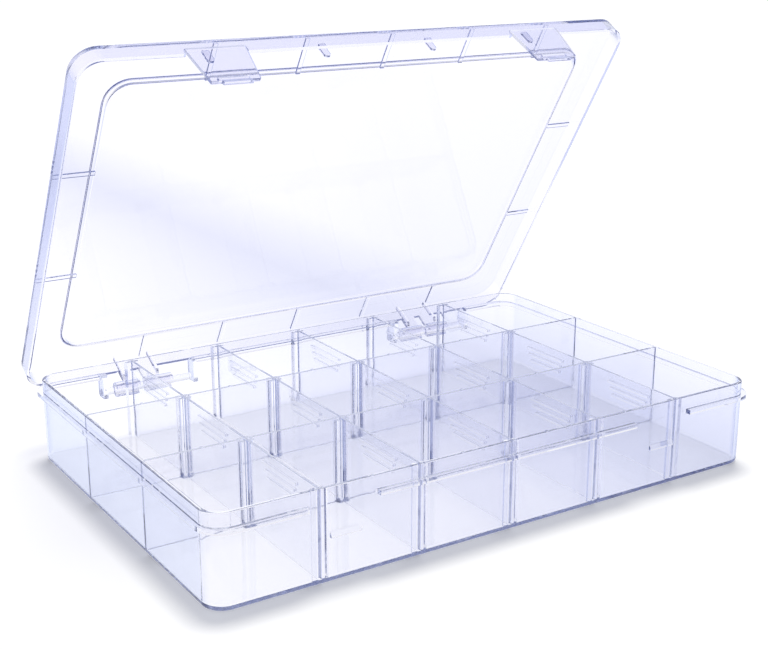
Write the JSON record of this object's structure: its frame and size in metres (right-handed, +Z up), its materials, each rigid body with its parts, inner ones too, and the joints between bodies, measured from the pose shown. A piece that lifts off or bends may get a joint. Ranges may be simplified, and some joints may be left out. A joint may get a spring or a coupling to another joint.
{
  "type": "compartment storage box",
  "caption": "Clear flat storage box with rows of open compartments, removable dividers and a hinged, latching lid.",
  "frame": {"origin": "middle of the tray's flat underside", "axes": "+X along the long side, +Y from the latches to the hinges, +Z up out of the open tray"},
  "size_m": [0.2752, 0.2031, 0.1939],
  "materials": {
    "tray_plastic": "polished clear moulded plastic, faint blue tint at the edges",
    "lid_plastic": "polished clear moulded plastic, faint blue tint at the edges",
    "divider_plastic": "polished clear moulded plastic, with grip ribs on both faces"
  },
  "bodies": {
    "tray": {"tray": "tray_plastic"},
    "lid": {"lid": "lid_plastic"},
    "latch_left": {"latch_left": "lid_plastic"},
    "latch_right": {"latch_right": "lid_plastic"},
    "divider_11": {"divider_11": "divider_plastic"},
    "divider_12": {"divider_12": "divider_plastic"},
    "divider_13": {"divider_13": "divider_plastic"},
    "divider_14": {"divider_14": "divider_plastic"},
    "divider_15": {"divider_15": "divider_plastic"},
    "divider_21": {"divider_21": "divider_plastic"},
    "divider_22": {"divider_22": "divider_plastic"},
    "divider_23": {"divider_23": "divider_plastic"},
    "divider_24": {"divider_24": "divider_plastic"},
    "divider_25": {"divider_25": "divider_plastic"},
    "divider_31": {"divider_31": "divider_plastic"},
    "divider_32": {"divider_32": "divider_plastic"},
    "divider_33": {"divider_33": "divider_plastic"},
    "divider_34": {"divider_34": "divider_plastic"},
    "divider_35": {"divider_35": "divider_plastic"}
  },
  "joints": [
    {"name": "lid_hinge", "type": "hinge", "parent": "tray", "child": "lid", "pos_m": [0, 0.09485, 0.0239], "axis": [-1, 0, 0], "range_deg": [-58.6, 121.4]},
    {"name": "latch_left_flex", "type": "hinge", "parent": "lid", "child": "latch_left", "pos_m": [-0.0793, 0.00762, 0.19156], "axis": [-1, 0, 0], "range_deg": [0, 12], "stiffness_Nm_per_rad": 0.4},
    {"name": "latch_right_flex", "type": "hinge", "parent": "lid", "child": "latch_right", "pos_m": [0.0817, 0.00762, 0.19156], "axis": [-1, 0, 0], "range_deg": [0, 12], "stiffness_Nm_per_rad": 0.4},
    {"name": "divider_11_lift", "type": "slide", "parent": "tray", "child": "divider_11", "axis": [0, 0, 1], "range_m": [0, 0.042]},
    {"name": "divider_12_lift", "type": "slide", "parent": "tray", "child": "divider_12", "axis": [0, 0, 1], "range_m": [0, 0.042]},
    {"name": "divider_13_lift", "type": "slide", "parent": "tray", "child": "divider_13", "axis": [0, 0, 1], "range_m": [0, 0.042]},
    {"name": "divider_14_lift", "type": "slide", "parent": "tray", "child": "divider_14", "axis": [0, 0, 1], "range_m": [0, 0.042]},
    {"name": "divider_15_lift", "type": "slide", "parent": "tray", "child": "divider_15", "axis": [0, 0, 1], "range_m": [0, 0.042]},
    {"name": "divider_21_lift", "type": "slide", "parent": "tray", "child": "divider_21", "axis": [0, 0, 1], "range_m": [0, 0.042]},
    {"name": "divider_22_lift", "type": "slide", "parent": "tray", "child": "divider_22", "axis": [0, 0, 1], "range_m": [0, 0.042]},
    {"name": "divider_23_lift", "type": "slide", "parent": "tray", "child": "divider_23", "axis": [0, 0, 1], "range_m": [0, 0.042]},
    {"name": "divider_24_lift", "type": "slide", "parent": "tray", "child": "divider_24", "axis": [0, 0, 1], "range_m": [0, 0.042]},
    {"name": "divider_25_lift", "type": "slide", "parent": "tray", "child": "divider_25", "axis": [0, 0, 1], "range_m": [0, 0.042]},
    {"name": "divider_31_lift", "type": "slide", "parent": "tray", "child": "divider_31", "axis": [0, 0, 1], "range_m": [0, 0.03]},
    {"name": "divider_32_lift", "type": "slide", "parent": "tray", "child": "divider_32", "axis": [0, 0, 1], "range_m": [0, 0.03]},
    {"name": "divider_33_lift", "type": "slide", "parent": "tray", "child": "divider_33", "axis": [0, 0, 1], "range_m": [0, 0.03]},
    {"name": "divider_34_lift", "type": "slide", "parent": "tray", "child": "divider_34", "axis": [0, 0, 1], "range_m": [0, 0.03]},
    {"name": "divider_35_lift", "type": "slide", "parent": "tray", "child": "divider_35", "axis": [0, 0, 1], "range_m": [0, 0.03]}
  ]
}
